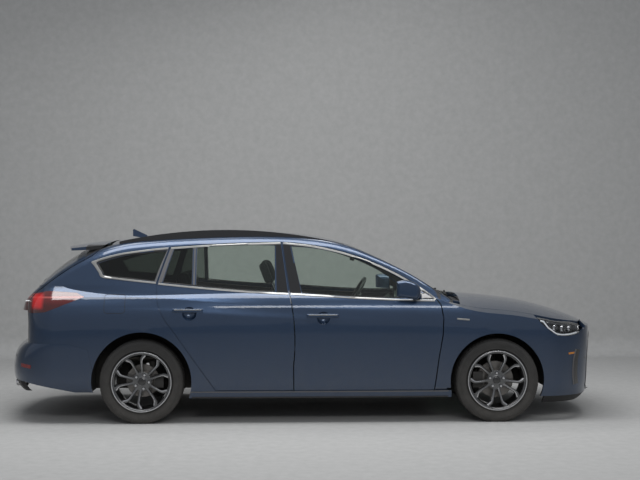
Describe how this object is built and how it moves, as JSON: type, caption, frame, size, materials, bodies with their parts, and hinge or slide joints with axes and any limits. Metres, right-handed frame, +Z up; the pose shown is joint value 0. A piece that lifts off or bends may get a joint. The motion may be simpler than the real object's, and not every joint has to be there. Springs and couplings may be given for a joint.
{
  "type": "station wagon",
  "caption": "Five-door station wagon with roof rails, in metallic mid-blue, on dark alloy wheels; doors, tailgate and bonnet open, wheels steer and roll.",
  "frame": {"origin": "on the ground under the middle of the car's length and width", "axes": "+X forward, +Y to the car's left, +Z up"},
  "size_m": [4.6641, 1.979, 1.4783],
  "materials": {
    "paint": "gloss",
    "black_trim": "satin",
    "gloss_black": "gloss",
    "glass": "gloss",
    "red_lamp": "gloss",
    "clear_lamp": "gloss",
    "alloy": "satin",
    "tyre": "matte",
    "steel": "matte",
    "cast": "matte",
    "seat": "matte",
    "dash": "matte",
    "underseal": "matte"
  },
  "bodies": {
    "body": {"body_side_left": "paint", "body_side_right": "paint", "roof_panel": "paint", "body_glass": "glass", "front_wings": "paint", "headlamps": "clear_lamp", "front_bumper": "paint", "front_grille": "gloss_black", "front_lip": "black_trim", "rear_bumper": "paint", "rear_valance": "black_trim", "tail_lamps": "red_lamp", "side_skirts": "paint", "roof_rails": "gloss_black", "underbody": "underseal", "arch_liners": "black_trim", "scuttle": "black_trim", "engine_block": "cast", "front_subframe": "cast", "rear_axle": "cast", "exhaust": "steel", "fuel_tank": "black_trim", "dashboard": "dash", "front_seats": "seat", "rear_seat": "seat"},
    "bonnet": {"bonnet": "paint"},
    "tailgate": {"tailgate": "paint", "tailgate_glass": "glass", "tailgate_lamps": "red_lamp"},
    "knuckle_left": {"knuckle_left": "cast"},
    "knuckle_right": {"knuckle_right": "cast"},
    "steering_wheel": {"steering_wheel": "dash"},
    "door_front_left": {"door_front_left": "paint", "glass_front_left": "glass", "mirror_left": "paint"},
    "door_front_right": {"door_front_right": "paint", "glass_front_right": "glass", "mirror_right": "paint"},
    "door_rear_left": {"door_rear_left": "paint", "glass_rear_left": "glass"},
    "door_rear_right": {"door_rear_right": "paint", "glass_rear_right": "glass"},
    "wheel_front_left": {"tyre_front_left": "tyre", "rim_front_left": "alloy"},
    "wheel_front_right": {"tyre_front_right": "tyre", "rim_front_right": "alloy"},
    "wheel_rear_left": {"tyre_rear_left": "tyre", "rim_rear_left": "alloy"},
    "wheel_rear_right": {"tyre_rear_right": "tyre", "rim_rear_right": "alloy"}
  },
  "joints": [
    {"name": "door_front_left_hinge", "type": "hinge", "parent": "body", "child": "door_front_left", "pos_m": [0.985, 0.8855, 0.675], "axis": [0, 0, -1], "range_deg": [0, 58]},
    {"name": "door_front_right_hinge", "type": "hinge", "parent": "body", "child": "door_front_right", "pos_m": [0.985, -0.8855, 0.675], "axis": [0, 0, 1], "range_deg": [0, 58]},
    {"name": "door_rear_left_hinge", "type": "hinge", "parent": "body", "child": "door_rear_left", "pos_m": [-0.126, 0.8975, 0.675], "axis": [0, 0, -1], "range_deg": [0, 65]},
    {"name": "door_rear_right_hinge", "type": "hinge", "parent": "body", "child": "door_rear_right", "pos_m": [-0.126, -0.8975, 0.675], "axis": [0, 0, 1], "range_deg": [0, 65]},
    {"name": "tailgate_hinge", "type": "hinge", "parent": "body", "child": "tailgate", "pos_m": [-1.542, 0, 1.357], "axis": [0, 1, 0], "range_deg": [0, 78]},
    {"name": "bonnet_hinge", "type": "hinge", "parent": "body", "child": "bonnet", "pos_m": [1.165, 0, 0.866], "axis": [0, -1, 0], "range_deg": [0, 50]},
    {"name": "steer_left", "type": "hinge", "parent": "body", "child": "knuckle_left", "pos_m": [1.462, 0.722, 0.19], "axis": [0, -0.1993, 0.9799], "range_deg": [-32, 32]},
    {"name": "steer_right", "type": "hinge", "parent": "body", "child": "knuckle_right", "pos_m": [1.462, -0.722, 0.19], "axis": [0, 0.1993, 0.9799], "range_deg": [-32, 32]},
    {"name": "steering_wheel_turn", "type": "hinge", "parent": "body", "child": "steering_wheel", "pos_m": [0.455, 0.37, 0.905], "axis": [-0.866, 0, 0.5], "range_deg": [-470, 470]},
    {"name": "wheel_front_left_spin", "type": "hinge", "parent": "knuckle_left", "child": "wheel_front_left", "pos_m": [1.462, 0.78, 0.315], "axis": [0, 1, 0], "continuous": true},
    {"name": "wheel_front_right_spin", "type": "hinge", "parent": "knuckle_right", "child": "wheel_front_right", "pos_m": [1.462, -0.78, 0.315], "axis": [0, 1, 0], "continuous": true},
    {"name": "wheel_rear_left_spin", "type": "hinge", "parent": "body", "child": "wheel_rear_left", "pos_m": [-1.238, 0.78, 0.315], "axis": [0, 1, 0], "continuous": true},
    {"name": "wheel_rear_right_spin", "type": "hinge", "parent": "body", "child": "wheel_rear_right", "pos_m": [-1.238, -0.78, 0.315], "axis": [0, 1, 0], "continuous": true}
  ],
  "couplings": [
    {"joint": "steer_right", "follows": "steer_left", "ratio": 1},
    {"joint": "steering_wheel_turn", "follows": "steer_left", "ratio": 14.5}
  ]
}
